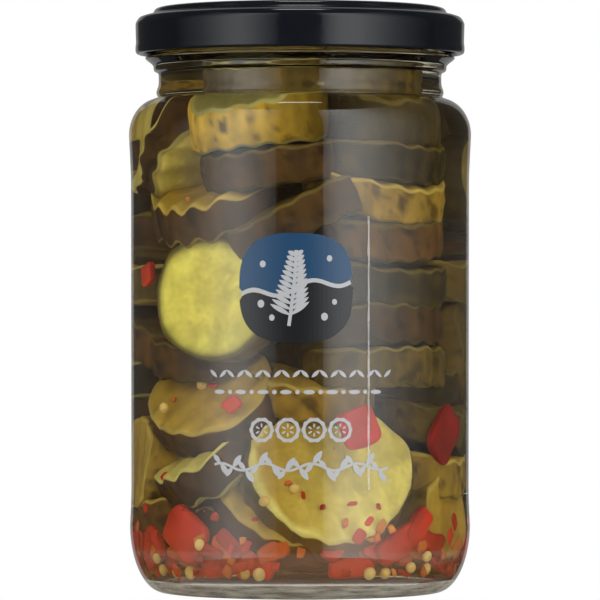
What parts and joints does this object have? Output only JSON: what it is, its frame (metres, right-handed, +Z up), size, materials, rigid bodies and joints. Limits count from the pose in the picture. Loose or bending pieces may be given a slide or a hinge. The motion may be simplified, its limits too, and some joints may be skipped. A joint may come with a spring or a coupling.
{
  "type": "pickle jar",
  "caption": "Clear twist-off glass jar with a dark metal lid, packed with thick crinkle-cut pickled cucumber slices, red pepper and mustard seeds under a clear film label.",
  "frame": {"origin": "centre of the bearing ring on the floor", "axes": "+Z up along the jar's axis; the front of the label faces -Y"},
  "size_m": [0.0766, 0.0765, 0.1305],
  "materials": {
    "glass": "clear polished soda-lime glass",
    "lid_metal": "satin near-black lacquered tinplate",
    "label_film": null,
    "pickle": null
  },
  "bodies": {
    "root": {"jar": "glass", "lid": "lid_metal", "label": "label_film", "pickles": "pickle"}
  },
  "joints": []
}
